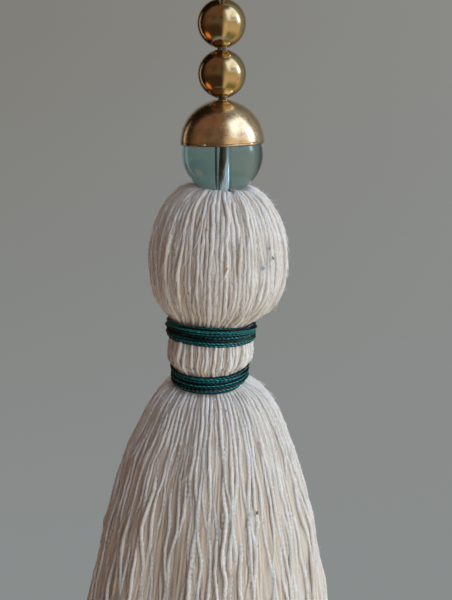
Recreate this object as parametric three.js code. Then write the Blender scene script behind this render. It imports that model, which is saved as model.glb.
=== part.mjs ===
// A beaded tassel that hangs by a loop of cotton cord.
//
// Millimetres, +Z up, +X to the right and -Y to the front.
// The origin is the top of the hanging loop, and the tassel hangs down along -Z.
// From the top: the cord loop, two brass balls, a brass bead cap over a glass bead,
// then a hank of cotton yarn bent over into a round head, tied twice with green thread
// around its neck, with its cut ends falling as a bell-shaped skirt.

import * as THREE from 'three';
import { mergeVertices } from 'three/addons/utils/BufferGeometryUtils.js';

// ---- driving dimensions ----------------------------------------------------------

const CLEARANCE = 0.3;             // between pieces that touch on the real tassel

const LOOP_HEIGHT = 42;            // top of the loop to the top of the upper ball
const LOOP_CORD_DIAMETER = 1.2;
const BEAD_CORD_DIAMETER = 2.4;    // the loop's two ends laid together
const CORD_IN_HEAD = 6;            // how far the bead cord runs into the yarn
const STRING_LEAN = 1.9;           // degrees that the string of beads leans to the right
const STRING_SIDE = 0.25;          // shift of the string's top to the right

const BORE_DIAMETER = BEAD_CORD_DIAMETER + 2 * CLEARANCE;
const BALL_DIAMETER = 11.8;
const CAP = { diameter: 21.1, height: 10.6, wall: 0.35, hole: 3.6, tilt: 1.2 };   // tilt in degrees
const GLASS_DIAMETER = 20.5;
const CUP = { radii: [3.4, 5.3, 7.0], clearance: 0.4 };   // hollow that the glass sits in
const CAP_TO_GLASS_CENTRE = 2.8;   // the cap's rim stops this far above the glass's middle

// The two bindings: height of the middle, outer radius, turns of thread, thread diameter,
// shift of the middle to the right, and how far the right and front sides ride up.
const WRAPS = {
  upper: { z: -125.5, radius: 11.9, turns: 7, thread: 0.72, side: -0.2, right: -0.3, front: 1.2 },
  lower: { z: -136.6, radius: 10.4, turns: 5, thread: 0.72, side: -0.4, right: 0.4, front: -0.6 },
};

// Level sections of the yarn, from the shoulder of the head down to the hem.
// side: shift of the middle to the right. right, front: rise of those sides of the section.
// locks: depth of the hollows between locks of yarn, as a share of the radius.
const HEAD_SECTIONS = [
  { z: -87.8, radius: 8.3, side: 1.4, right: -0.3, front: 0, locks: 0 },
  { z: -88.8, radius: 10.5, side: 1.4, right: -0.4, front: 0, locks: 0.003 },
  { z: -90.9, radius: 12.9, side: 1.3, right: -0.4, front: 0, locks: 0.006 },
  { z: -94.0, radius: 14.9, side: 1.2, right: -0.3, front: 0, locks: 0.008 },
  { z: -98.2, radius: 16.6, side: 1.1, right: -0.2, front: 0, locks: 0.01 },
  { z: -103.0, radius: 17.6, side: 1.0, right: 0, front: 0, locks: 0.01 },
  { z: -107.8, radius: 17.9, side: 1.1, right: 0, front: 0, locks: 0.01 },
  { z: -112.5, radius: 17.4, side: 1.1, right: 0, front: 0, locks: 0.01 },
  { z: -116.2, radius: 16.2, side: 0.8, right: -0.1, front: 0.2, locks: 0.01 },
  { z: -119.4, radius: 14.2, side: 0.6, right: -0.2, front: 0.7, locks: 0.008 },
];
const COLLAR_SECTIONS = [
  { z: -129.2, radius: 11.4, side: -0.2, right: -0.2, front: 0.9, locks: 0.006 },
  { z: -131.6, radius: 11.4, side: -0.5, right: 0, front: 0.3, locks: 0.006 },
  { z: -133.8, radius: 11.0, side: -0.4, right: 0.3, front: -0.4, locks: 0.006 },
];
const SKIRT_SECTIONS = [
  { z: -141.6, radius: 14.1, side: 0.4, right: 0.2, front: -0.5, locks: 0.02 },
  { z: -145.4, radius: 16.7, side: 0.8, right: 0, front: -0.2, locks: 0.025 },
  { z: -150.4, radius: 19.2, side: 0.8, right: 0, front: 0, locks: 0.03 },
  { z: -157.4, radius: 22.2, side: 0.4, right: 0, front: 0, locks: 0.035 },
  { z: -166.0, radius: 24.9, side: 0.3, right: 0, front: 0, locks: 0.04 },
  { z: -176.5, radius: 27.8, side: 0.5, right: 0, front: 0, locks: 0.045 },
  { z: -188.0, radius: 30.2, side: 0.4, right: 0, front: 0, locks: 0.05 },
  { z: -201.0, radius: 32.6, side: 0.3, right: 0, front: 0, locks: 0.055 },
  { z: -216.0, radius: 34.9, side: 0.4, right: 0, front: 0, locks: 0.06 },
  { z: -230.0, radius: 36.0, side: 0.3, right: 0.4, front: 0.3, locks: 0.065 },
  { z: -241.0, radius: 36.3, side: 0.2, right: 0.8, front: 0.6, locks: 0.07 },
];
const HEM = { rise: 1.6, innerShare: 0.62, innerLift: 1.2 };   // the uneven cut ends

// Waves around the skirt that add up to its locks and to its uneven hem.
const LOCK_WAVES = [
  { count: 5, height: 0.5, phase: 0.7 },
  { count: 9, height: 0.32, phase: 2.1 },
  { count: 13, height: 0.3, phase: 4.4 },
];
const HEM_WAVES = [
  { count: 3, height: 0.6, phase: 1.2 },
  { count: 8, height: 0.4, phase: 0.3 },
];

// Middle of the loop's cord, from its right end on the upper ball, over the top, and back.
const LOOP_ROUTE = [
  [1.0, 0, -41.5], [1.03, 0, -38.8], [1.18, 0.05, -35.6], [1.5, 0.1, -31.8], [2.0, 0.2, -27.4],
  [2.6, 0.3, -22.8], [3.2, 0.35, -18.2], [3.75, 0.35, -13.8], [4.15, 0.25, -9.8], [4.1, 0.15, -6.3],
  [3.5, 0.05, -3.5], [2.3, 0, -1.55], [0.7, 0, -0.68], [-0.9, 0, -0.78], [-2.4, -0.05, -1.9],
  [-3.4, -0.1, -4.0], [-3.85, -0.15, -7.0], [-3.8, -0.2, -10.8], [-3.4, -0.2, -15.0],
  [-2.8, -0.15, -19.6], [-2.15, -0.1, -24.2], [-1.5, -0.05, -28.8], [-0.95, 0, -33.2],
  [-0.6, 0, -37.4], [-0.5, 0, -41.5],
];

const AROUND = { yarn: 56, wrap: 40, glass: 32, ball: 24, cord: 8 };   // facets around each
const ARC_STEPS = { ball: 12, glass: 16, cap: 9 };                    // facets along each arc
const LOOP_STEPS = 32;

const COLOURS = {
  yarn: 0xcfc2b0, greenThread: 0x0f3d40, glass: 0x7f9c9b, brass: 0xb8914f, cotton: 0xd8cfc0,
};

// ---- geometry helpers ------------------------------------------------------------

function turn(index, count) {
  return (2 * Math.PI * index) / count;
}

// A closed body from rings of points, each ring with the same count: side walls between
// neighbouring rings, closed by a point at each end, or joined end to end when wrapped.
function bodyFromRings(rings, { wrapped = false } = {}) {
  const count = rings[0].length;
  const vertices = rings.flat();
  const faces = [];
  const quads = wrapped ? rings.length : rings.length - 1;
  for (let row = 0; row < quads; row += 1) {
    const here = row * count;
    const below = ((row + 1) % rings.length) * count;
    for (let step = 0; step < count; step += 1) {
      const next = (step + 1) % count;
      faces.push(here + step, below + step, below + next);
      faces.push(here + step, below + next, here + next);
    }
  }
  if (!wrapped) {
    const top = vertices.push(middleOf(rings[0])) - 1;
    const bottom = vertices.push(middleOf(rings.at(-1))) - 1;
    const last = (rings.length - 1) * count;
    for (let step = 0; step < count; step += 1) {
      const next = (step + 1) % count;
      faces.push(top, step, next);
      faces.push(bottom, last + next, last + step);
    }
  }
  const geometry = new THREE.BufferGeometry();
  geometry.setAttribute('position', new THREE.Float32BufferAttribute(vertices.flat(), 3));
  geometry.setIndex(faces);
  geometry.computeVertexNormals();
  return geometry;
}

function middleOf(ring) {
  return [0, 1, 2].map((axis) => ring.reduce((sum, point) => sum + point[axis], 0) / ring.length);
}

// A turned body about Z from a closed outline of [radius, height] points.
function turned(outline, around) {
  const points = [...outline, outline[0]].map(([radius, height]) => new THREE.Vector2(radius, height));
  const geometry = new THREE.LatheGeometry(points, around).rotateX(Math.PI / 2);
  geometry.deleteAttribute('normal');
  geometry.deleteAttribute('uv');
  const merged = mergeVertices(geometry, 1e-5);
  merged.computeVertexNormals();
  return merged;
}

function arc(radius, centre, from, to, steps) {
  const points = [];
  for (let step = 0; step <= steps; step += 1) {
    const angle = from + ((to - from) * step) / steps;
    points.push([radius * Math.cos(angle), centre + radius * Math.sin(angle)]);
  }
  return points;
}

function meshOf(name, geometry, material) {
  const mesh = new THREE.Mesh(geometry, material);
  mesh.name = name;
  return mesh;
}

function standard(color, roughness, metalness = 0) {
  return new THREE.MeshStandardMaterial({ color, roughness, metalness });
}

// ---- the string of beads ---------------------------------------------------------
// Beads are placed in the string's own group, whose Z is 0 on top of the upper ball.

const upperBallZ = -BALL_DIAMETER / 2;
const lowerBallZ = upperBallZ - BALL_DIAMETER - CLEARANCE;
const capTopZ = lowerBallZ - BALL_DIAMETER / 2 - CLEARANCE;
const capRimZ = capTopZ - CAP.height;
const glassZ = capRimZ - CAP_TO_GLASS_CENTRE;
const lean = THREE.MathUtils.degToRad(STRING_LEAN);

function onString(depth) {
  return { x: STRING_SIDE - depth * Math.sin(lean), z: -LOOP_HEIGHT + depth * Math.cos(lean) };
}

function boredBall(diameter, steps, around) {
  const mouth = Math.acos(BORE_DIAMETER / diameter);
  return turned(arc(diameter / 2, 0, -mouth, mouth, steps), around);
}

function brassBall(name, z) {
  const geometry = boredBall(BALL_DIAMETER, ARC_STEPS.ball, AROUND.ball);
  const mesh = meshOf(name, geometry, standard(COLOURS.brass, 0.22, 1));
  mesh.position.z = z;
  return mesh;
}

function glassBead() {
  const material = standard(COLOURS.glass, 0.06);
  material.transparent = true;
  material.opacity = 0.6;
  const mesh = meshOf('glass_bead', boredBall(GLASS_DIAMETER, ARC_STEPS.glass, AROUND.glass), material);
  mesh.position.z = glassZ;
  return mesh;
}

// A thin dome, open below, with a hole for the cord in its crown and a short upright lip.
// Its outline is drawn about the middle of the glass, on which it sits a little askew.
function beadCap() {
  const outer = CAP.diameter / 2;
  const inner = outer - CAP.wall;
  const centre = capTopZ - glassZ - outer;
  const rim = capRimZ - glassZ;
  const hole = CAP.hole / 2;
  const outside = arc(outer, centre, 0, Math.acos(hole / outer), ARC_STEPS.cap);
  const inside = arc(inner, centre, Math.acos(hole / inner), 0, ARC_STEPS.cap);
  const outline = [[outer, rim], ...outside, ...inside, [inner, rim]];
  const mesh = meshOf('bead_cap', turned(outline, AROUND.glass), standard(COLOURS.brass, 0.25, 1));
  mesh.position.z = glassZ;
  mesh.rotation.y = -THREE.MathUtils.degToRad(CAP.tilt);
  return mesh;
}

function beadCord() {
  const bottom = glassZ - GLASS_DIAMETER / 2 - CORD_IN_HEAD;
  const top = CLEARANCE / 2;
  const geometry = new THREE.CylinderGeometry(
    BEAD_CORD_DIAMETER / 2, BEAD_CORD_DIAMETER / 2, top - bottom, AROUND.cord * 2,
  ).rotateX(Math.PI / 2);
  const mesh = meshOf('bead_cord', geometry, standard(COLOURS.cotton, 0.9));
  mesh.position.z = (top + bottom) / 2;
  return mesh;
}

function beadString() {
  const string = new THREE.Group();
  string.position.set(STRING_SIDE, 0, -LOOP_HEIGHT);
  string.rotation.y = -lean;
  string.add(brassBall('ball_bead_upper', upperBallZ));
  string.add(brassBall('ball_bead_lower', lowerBallZ));
  string.add(beadCap());
  string.add(glassBead());
  string.add(beadCord());
  return string;
}

function hangingLoop() {
  const route = new THREE.CatmullRomCurve3(LOOP_ROUTE.map((point) => new THREE.Vector3(...point)));
  const radius = LOOP_CORD_DIAMETER / 2;
  const section = new THREE.Shape();
  for (let step = 0; step < AROUND.cord; step += 1) {
    const angle = turn(step, AROUND.cord);
    const place = [radius * Math.cos(angle), radius * Math.sin(angle)];
    if (step === 0) section.moveTo(...place);
    else section.lineTo(...place);
  }
  section.closePath();
  const geometry = new THREE.ExtrudeGeometry(section, { steps: LOOP_STEPS, extrudePath: route });
  return meshOf('hanging_loop', geometry, standard(COLOURS.cotton, 0.9));
}

// ---- the yarn ---------------------------------------------------------------------

function sumOfWaves(waves, angle) {
  return waves.reduce((sum, { count, height, phase }) => sum + height * Math.cos(count * angle + phase), 0);
}

// One ring of points for a section. The front is at -Y, so its rise falls with +sin.
function sectionRing(section, around, lift = () => 0) {
  const ring = [];
  for (let step = 0; step < around; step += 1) {
    const angle = turn(step, around);
    const radius = section.radius * (1 + section.locks * sumOfWaves(LOCK_WAVES, angle));
    const rise = section.right * Math.cos(angle) - section.front * Math.sin(angle);
    ring.push([
      section.side + radius * Math.cos(angle),
      radius * Math.sin(angle),
      section.z + rise + lift(angle),
    ]);
  }
  return ring;
}

// The groove that a binding pulls into the neck, with its lips just above and below.
function grooveSections(wrap) {
  const { side, right, front } = wrap;
  const half = (wrap.turns * wrap.thread) / 2 + CLEARANCE;
  const floor = wrap.radius - wrap.thread * 1.2 - CLEARANCE;
  const lip = floor + wrap.thread;
  const shared = { side, right, front, locks: 0 };
  return [
    { ...shared, z: wrap.z + half + CLEARANCE, radius: lip },
    { ...shared, z: wrap.z + half, radius: floor },
    { ...shared, z: wrap.z - half, radius: floor },
    { ...shared, z: wrap.z - half - CLEARANCE, radius: lip },
  ];
}

// The hollow in the top of the head: a socket for the cord, then a cup under the glass bead.
function hollowRings() {
  const flat = { right: 0, front: 0, locks: 0 };
  const glass = onString(glassZ);
  const cupRadius = GLASS_DIAMETER / 2 + CUP.clearance;
  const cup = CUP.radii.map((radius) => ({
    ...flat, radius, side: glass.x, z: glass.z - Math.sqrt(cupRadius ** 2 - radius ** 2),
  }));
  const radius = BEAD_CORD_DIAMETER / 2 + CLEARANCE;
  const floor = onString(glassZ - GLASS_DIAMETER / 2 - CORD_IN_HEAD - CLEARANCE);
  const mouth = onString(glassZ - cupRadius);
  const socket = [floor, mouth].map(({ x, z }) => ({ ...flat, radius, side: x, z }));
  return [...socket, ...cup].map((section) => sectionRing(section, AROUND.yarn));
}

// The uneven cut ends: the last section, lifted and dropped, then drawn in under the skirt.
function hemRings() {
  const edge = SKIRT_SECTIONS.at(-1);
  const cut = (angle) => HEM.rise * sumOfWaves(HEM_WAVES, angle);
  const outer = sectionRing(edge, AROUND.yarn, cut);
  const inner = { ...edge, radius: edge.radius * HEM.innerShare, z: edge.z + HEM.innerLift };
  return [outer, sectionRing(inner, AROUND.yarn, (angle) => cut(angle) / 2)];
}

function yarnBundle() {
  const sections = [
    ...HEAD_SECTIONS,
    ...grooveSections(WRAPS.upper),
    ...COLLAR_SECTIONS,
    ...grooveSections(WRAPS.lower),
    ...SKIRT_SECTIONS.slice(0, -1),
  ];
  const walls = sections.map((section) => sectionRing(section, AROUND.yarn));
  const geometry = bodyFromRings([...hollowRings(), ...walls, ...hemRings()]);
  return meshOf('yarn_bundle', geometry, standard(COLOURS.yarn, 0.95));
}

// A binding: turns of thread side by side, as one ridged ring around the neck.
function threadWrap(name, wrap) {
  const bottom = wrap.z - (wrap.turns * wrap.thread) / 2;
  const inner = wrap.radius - wrap.thread * 1.2;
  const valley = wrap.radius - wrap.thread * 0.3;
  const rings = [{ radius: inner, z: bottom }];
  for (let index = 0; index < wrap.turns; index += 1) {
    rings.push({ radius: valley, z: bottom + (index + 0.1) * wrap.thread });
    rings.push({ radius: wrap.radius, z: bottom + (index + 0.5) * wrap.thread });
  }
  rings.push({ radius: valley, z: bottom + (wrap.turns - 0.1) * wrap.thread });
  rings.push({ radius: inner, z: bottom + wrap.turns * wrap.thread });
  const placed = rings.reverse().map((ring) => sectionRing({ ...wrap, ...ring, locks: 0 }, AROUND.wrap));
  return meshOf(name, bodyFromRings(placed, { wrapped: true }), standard(COLOURS.greenThread, 0.45));
}

// ---- the tassel ---------------------------------------------------------------------

const tassel = new THREE.Group();
tassel.add(hangingLoop());
tassel.add(beadString());
tassel.add(yarnBundle());
tassel.add(threadWrap('wrap_upper', WRAPS.upper));
tassel.add(threadWrap('wrap_lower', WRAPS.lower));

export default tassel;
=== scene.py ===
"""The looks of a beaded tassel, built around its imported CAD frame.

Metres, +Z up, +X to the right and -Y to the front, with the origin at the top of the hanging loop.
The yarn follows the CAD's own surface: its strands run from the hollow under the glass bead over
the head, under the two bindings and down the skirt to their cut ends.
"""

import math

import bpy
import numpy as np
from mathutils import Matrix, Vector
from mathutils.bvhtree import BVHTree


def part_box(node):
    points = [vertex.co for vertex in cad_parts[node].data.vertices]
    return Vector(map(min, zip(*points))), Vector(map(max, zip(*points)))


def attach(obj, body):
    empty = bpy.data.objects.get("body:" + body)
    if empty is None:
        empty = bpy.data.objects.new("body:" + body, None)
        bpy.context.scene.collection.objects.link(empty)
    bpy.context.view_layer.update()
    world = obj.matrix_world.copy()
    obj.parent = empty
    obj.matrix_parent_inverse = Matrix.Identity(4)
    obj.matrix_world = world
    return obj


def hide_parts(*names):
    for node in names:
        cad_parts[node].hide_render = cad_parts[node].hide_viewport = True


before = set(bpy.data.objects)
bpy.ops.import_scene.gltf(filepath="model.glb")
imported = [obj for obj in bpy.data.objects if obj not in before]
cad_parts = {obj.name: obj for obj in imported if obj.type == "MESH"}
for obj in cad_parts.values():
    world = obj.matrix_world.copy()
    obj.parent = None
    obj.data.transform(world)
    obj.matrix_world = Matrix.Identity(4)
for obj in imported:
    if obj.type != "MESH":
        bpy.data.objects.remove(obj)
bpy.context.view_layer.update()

MM = 0.001
TAU = 2 * math.pi

# ---- driving values, in millimetres and degrees ----

CAMERA = {"place": (3.4, -272.6, -49.6), "down": 14.0, "roll": 1.6, "lens": 64.8}

BALL_DIAMETER = 12.0
BORE_DIAMETER = 3.0
CORD_DIAMETER = 1.2

# Middle of the loop's cord, from its right end on the upper ball, over the top, and back.
LOOP_ROUTE = [
    (1.0, 0, -41.5), (1.03, 0, -38.8), (1.18, 0.05, -35.6), (1.5, 0.1, -31.8), (2.0, 0.2, -27.4),
    (2.6, 0.3, -22.8), (3.2, 0.35, -18.2), (3.75, 0.35, -13.8), (4.15, 0.25, -9.8), (4.1, 0.15, -6.3),
    (3.5, 0.05, -3.5), (2.3, 0, -1.55), (0.7, 0, -0.68), (-0.9, 0, -0.78), (-2.4, -0.05, -1.9),
    (-3.4, -0.1, -4.0), (-3.85, -0.15, -7.0), (-3.8, -0.2, -10.8), (-3.4, -0.2, -15.0),
    (-2.8, -0.15, -19.6), (-2.15, -0.1, -24.2), (-1.5, -0.05, -28.8), (-0.95, 0, -33.2),
    (-0.6, 0, -37.4), (-0.5, 0, -41.5),
]

# ---- small helpers ----


def smooth(x):
    """0 to 1 with soft ends."""
    x = np.clip(x, 0, 1)
    return x * x * (3 - 2 * x)


def unit(vectors):
    return vectors / np.linalg.norm(vectors, axis=-1, keepdims=True)


def around(angle):
    """Level directions for these angles, from +X towards +Y."""
    return np.stack([np.cos(angle), np.sin(angle), np.zeros_like(angle)], -1)


def read_off(at, places, points):
    """Points of a line, read off at these places along it."""
    return np.stack([np.interp(at, places, points[:, axis]) for axis in range(3)], -1)


def spread_evenly(points, step):
    """Points on a line through these points, about step apart, and how far along it each lies."""
    points = np.asarray(points, float)
    far = np.concatenate([[0], np.cumsum(np.linalg.norm(np.diff(points, axis=0), axis=1))])
    along = np.linspace(0, far[-1], max(int(round(far[-1] / step)), 2) + 1)
    return read_off(along, far, points), along


def rounded_route(points, steps=8):
    """A smooth Catmull-Rom line through given points."""
    p = np.asarray(points, float)
    p = np.concatenate([[2 * p[0] - p[1]], p, [2 * p[-1] - p[-2]]])
    t = np.linspace(0, 1, steps, endpoint=False)[:, None]
    parts = [
        0.5 * (2 * b + (c - a) * t + (2 * a - 5 * b + 4 * c - d) * t**2 + (3 * b - a - 3 * c + d) * t**3)
        for a, b, c, d in zip(p, p[1:], p[2:], p[3:])
    ]
    return np.concatenate([*parts, p[-2:-1]])


def waves(rng, count, along, lengths):
    """A smooth random line for each strand, mostly within -1 to 1, from waves of these lengths."""
    total = 0
    for length in lengths:
        start = rng.uniform(0, TAU, (count, 1))
        stretch = rng.uniform(0.75, 1.35, (count, 1))
        total = total + np.sin(TAU * along / (length * MM * stretch) + start)
    return total / len(lengths) ** 0.5


def wavy(rng, count, along, *swings):
    """A sum of such lines. Each swing is its height, and then the lengths of its waves."""
    return sum(height * waves(rng, count, along, lengths) for height, *lengths in swings)


def field(rng, angle, along, counts, lengths):
    """A smooth random value that neighbouring strands share, mostly within -1 to 1."""
    total = 0
    for count in counts:
        for length in lengths:
            start = rng.uniform(0, TAU)
            total = total + np.sin(count * angle + TAU * along / (length * MM) + start)
    return total / (len(counts) * len(lengths)) ** 0.5


# ---- meshes ----


def mesh_object(name, points, corners, sizes, uv=None, attributes=None, soft=True):
    """An object: its points, its faces' corners end to end, and each face's corner count."""
    mesh = bpy.data.meshes.new(name)
    mesh.vertices.add(len(points))
    mesh.vertices.foreach_set("co", np.asarray(points, np.float32).ravel())
    mesh.loops.add(len(corners))
    mesh.loops.foreach_set("vertex_index", np.asarray(corners, np.int32))
    mesh.polygons.add(len(sizes))
    starts = np.concatenate([[0], np.cumsum(sizes)[:-1]])
    mesh.polygons.foreach_set("loop_start", starts.astype(np.int32))
    mesh.update(calc_edges=True)
    if soft:
        mesh.shade_smooth()
    if uv is not None:
        layer = mesh.uv_layers.new(name="OFBake", do_init=False)
        layer.uv.foreach_set("vector", np.asarray(uv, np.float32).ravel())
    for key, values in (attributes or {}).items():
        layer = mesh.attributes.new(key, "FLOAT_VECTOR", "POINT")
        layer.data.foreach_set("vector", np.asarray(values, np.float32).ravel())
    made = bpy.data.objects.new(name, mesh)
    bpy.context.scene.collection.objects.link(made)
    return made


def tube_faces(strands, rings, sides):
    """The faces of closed tubes, as all their corners and each one's corner count. Each tube's points
    run ring by ring, with its two tips last."""
    base = np.arange(strands)[:, None, None] * (rings * sides + 2)
    ring = np.arange(rings - 1)[None, :, None] * sides
    here = np.arange(sides)[None]
    after = (here + 1) % sides
    wall = (base + ring)[..., None] + np.stack([here, after, sides + after, sides + here], -1)
    first_tip, last = 0 * here + rings * sides, (rings - 1) * sides
    start = base + np.stack([first_tip, after, here], -1)
    end = base + np.stack([first_tip + 1, last + here, last + after], -1)
    corners = np.concatenate([wall.ravel(), start.ravel(), end.ravel()])
    return corners, np.repeat([4, 3], [wall.size // 4, 2 * strands * sides])


def strip_places(strands, rings, sides, cells, aspect):
    """UV places for the corners of tube_faces: each tube is cut into cells, each one upright strip."""
    columns = max(math.ceil((strands * cells * aspect) ** 0.5), 1)
    rows = -(-strands * cells // columns)
    per_cell = -(-(rings - 1) // cells)
    side_margin, end_margin = 0.08, 0.01

    def spot(strand, cell, side, ring):
        index = strand * cells + cell
        x = index % columns + side_margin + (1 - 2 * side_margin) * side / sides
        y = index // columns + end_margin + (1 - 2 * end_margin) * (ring + 1) / (per_cell + 2)
        return np.stack([x / columns, y / rows], -1)

    strand, ring, side = np.indices((strands, rings - 1, sides))
    cell, ring = ring // per_cell, ring % per_cell
    around_wall = ((side, ring), (side + 1, ring), (side + 1, ring + 1), (side, ring + 1))
    wall = [spot(strand, cell, *corner) for corner in around_wall]
    strand, side = np.indices((strands, sides))
    last = rings - 1 - (cells - 1) * per_cell
    start = [spot(strand, 0, *corner) for corner in ((side + 0.5, -1), (side + 1, 0), (side, 0))]
    around_end = ((side + 0.5, last + 1), (side, last), (side + 1, last))
    end = [spot(strand, cells - 1, *corner) for corner in around_end]
    return np.concatenate([np.stack(faces, -2).reshape(-1, 2) for faces in (wall, start, end)])


def tube_points(paths, radii, lean, angle, reach):
    """The points of closed tubes, each ring by ring with its two tips last. angle and reach: where each
    side of each ring lies round the middle, counted from its lean, and how far from it."""
    tangent = unit(np.gradient(paths, axis=1))
    first = unit(lean - (lean * tangent).sum(-1, keepdims=True) * tangent)
    second = np.cross(tangent, first)
    points = (
        paths[:, :, None]
        + (reach * np.cos(angle))[..., None] * first[:, :, None]
        + (reach * np.sin(angle))[..., None] * second[:, :, None]
    )
    bulge = 0.4 * radii[:, [0, -1]] * [-1, 1]
    tips = paths[:, [0, -1]] + tangent[:, [0, -1]] * bulge[..., None]
    return np.concatenate([points.reshape(len(paths), -1, 3), tips], 1)


def tube_object(
    name, paths, radii, lean, sides, traits, twist=0.0, lobes=1.0, rough=0.0, cells=1, facing=False, seed=0
):
    """One object of closed tubes. paths is (strands, rings, 3) and radii (strands, rings).
    lean: a direction at each ring that isn't along the tube, from which its sides are counted.
    traits: (strands, rings, 3) values that the material reads as "trait".
    twist: the length in which the fibres turn once. lobes: each side's share of the radius.
    rough: how unevenly the surface bulges, as a share of the radius.
    cells: how many upright strips of the UV map each tube takes.
    facing: puts how far each side faces across both the tube and its lean into the third trait."""
    strands, rings = paths.shape[:2]
    along = np.pad(np.cumsum(np.linalg.norm(np.diff(paths, axis=1), axis=2), 1), ((0, 0), (1, 0)))
    own = TAU * np.arange(sides) / sides
    turned = along / twist * TAU if twist else 0 * along
    start = np.random.default_rng(seed).uniform(0, TAU, (strands, 1))
    angle = own + (turned + start)[:, :, None]
    reach = radii[:, :, None] * lobes * np.ones(sides)
    if rough:
        reach = reach * (1 + rough * np.random.default_rng(seed + 2).normal(size=reach.shape).clip(-2, 2))
    points = tube_points(paths, radii, lean, angle, reach)

    # Where each point lies on its strand: round the fibres, and along it in millimetres.
    offset = np.random.default_rng(seed + 1).uniform(0, 900, (strands, 1, 1))
    far = along[:, :, None] / MM + offset
    fibre = np.stack(np.broadcast_arrays(np.cos(own), np.sin(own), far), -1).reshape(strands, -1, 3)
    ends = [0, 0, 1] * far[:, [0, -1]]
    trait = np.repeat(traits[:, :, None], sides, 2)
    if facing:
        trait[..., 2] = np.sin(angle)
    trait = np.concatenate([trait.reshape(strands, -1, 3), traits[:, [0, -1]]], 1)
    attributes = {"fibre": np.concatenate([fibre, ends], 1), "trait": trait}
    aspect = along[:, -1].mean() / cells / (TAU * radii.mean())
    places = strip_places(strands, rings, sides, cells, aspect)
    corners, sizes = tube_faces(strands, rings, sides)
    return mesh_object(name, points.reshape(-1, 3), corners, sizes, places, attributes, soft=sides > 3)


def turned_object(name, outline, steps, centre, axis, wobble=None):
    """A turned body from a closed outline of (radius, height) in millimetres, about an axis."""
    outline = np.asarray(outline, float) * MM
    after = np.roll(outline, -1, axis=0)
    if (outline[:, 0] * after[:, 1] - after[:, 0] * outline[:, 1]).sum() < 0:
        outline = outline[::-1]         # so that the outside is passed upwards and the faces point out
    angle = TAU * np.arange(steps) / steps
    radius = np.repeat(outline[:, :1], steps, 1)
    height = np.repeat(outline[:, 1:], steps, 1)
    if wobble is not None:
        radius, height = wobble(radius, height, angle[None])
    local = np.stack([radius * np.cos(angle), radius * np.sin(angle), height], -1)
    up = np.array(axis)
    right = unit(np.cross([0, 1, 0], up))
    points = centre + local @ np.stack([right, np.cross(up, right), up])
    rows = len(outline)
    row, step = np.indices((rows, steps))
    row, below, after = row * steps, (row + 1) % rows * steps, (step + 1) % steps
    corners = np.stack([row + step, row + after, below + after, below + step], 2)
    return mesh_object(name, points.reshape(-1, 3), corners.ravel(), np.full(rows * steps, 4))


def arc(radius, start, end, steps, centre=(0, 0)):
    """Points of an arc, with its angles in degrees."""
    angle = np.radians(np.linspace(start, end, steps + 1))
    return [(centre[0] + radius * math.cos(a), centre[1] + radius * math.sin(a)) for a in angle]


# ---- materials ----

COTTON_DEPTHS = (1.0, 0.74, 0.54)       # how far red, green and blue light reach into cotton


class Nodes:
    """Short ways to make the nodes of one material, or of the world, and to join them."""

    def __init__(self, tree):
        self.tree = tree

    def join(self, output, socket):
        self.tree.links.new(output, socket)

    def make(self, kind, inputs=None, **settings):
        """A new node. Each input is set to a value, or joined to another node's output."""
        made = self.tree.nodes.new(kind)
        for key, value in settings.items():
            setattr(made, key, value)
        for key, value in (inputs or {}).items():
            if isinstance(value, bpy.types.NodeSocket):
                self.join(value, made.inputs[key])
            else:
                made.inputs[key].default_value = value
        return made

    def attribute(self, name):
        return self.make("ShaderNodeAttribute", attribute_name=name).outputs["Vector"]

    def place(self):
        return self.make("ShaderNodeTexCoord").outputs["Object"]

    def parts(self, vector):
        return self.make("ShaderNodeSeparateXYZ", {0: vector}).outputs

    def scaled(self, vector, scale):
        return self.make("ShaderNodeVectorMath", {0: vector, 1: scale}, operation="MULTIPLY").outputs[0]

    def noise(self, vector, scale, detail=2.0, roughness=0.5):
        """Noise of one scale, or with a scale for each axis."""
        if isinstance(scale, tuple):
            vector, scale = self.scaled(vector, scale), 1.0
        inputs = {"Vector": vector, "Scale": scale, "Detail": detail, "Roughness": roughness}
        return self.make("ShaderNodeTexNoise", inputs).outputs["Fac"]

    def ranged(self, value, low, high, to_low=0.0, to_high=1.0):
        inputs = {"Value": value, "From Min": low, "From Max": high, "To Min": to_low, "To Max": to_high}
        return self.make("ShaderNodeMapRange", inputs).outputs["Result"]

    def maths(self, operation, a, b=0.0):
        return self.make("ShaderNodeMath", {0: a, 1: b}, operation=operation).outputs["Value"]

    def times(self, a, b):
        return self.maths("MULTIPLY", a, b)

    def within(self, value, low, high, soft):
        """1 where the value lies between low and high, with edges this soft."""
        return self.times(
            self.ranged(value, low - soft, low + soft), self.ranged(value, high + soft, high - soft)
        )

    def mixed(self, share, a, b):
        a, b = ((*colour, 1) if isinstance(colour, tuple) else colour for colour in (a, b))
        return self.make("ShaderNodeMix", {0: share, 6: a, 7: b}, data_type="RGBA").outputs[2]

    def layered(self, colour, *layers):
        """A colour with others laid over it. Each layer is its share and its colour."""
        for share, over in layers:
            colour = self.mixed(share, colour, over)
        return colour

    def bump(self, shader, height, distance, strength=1.0):
        inputs = {"Height": height, "Distance": distance * MM, "Strength": strength}
        self.join(self.make("ShaderNodeBump", inputs).outputs["Normal"], shader.inputs["Normal"])


def new_material(name, **constants):
    """A material, its nodes and its Principled shader, whose plain inputs are set here."""
    made = bpy.data.materials.new(name)
    made.use_nodes = True
    shader = made.node_tree.nodes["Principled BSDF"]
    for key, value in constants.items():
        shader.inputs[key.replace("_", " ")].default_value = value
    return made, Nodes(made.node_tree), shader


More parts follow.
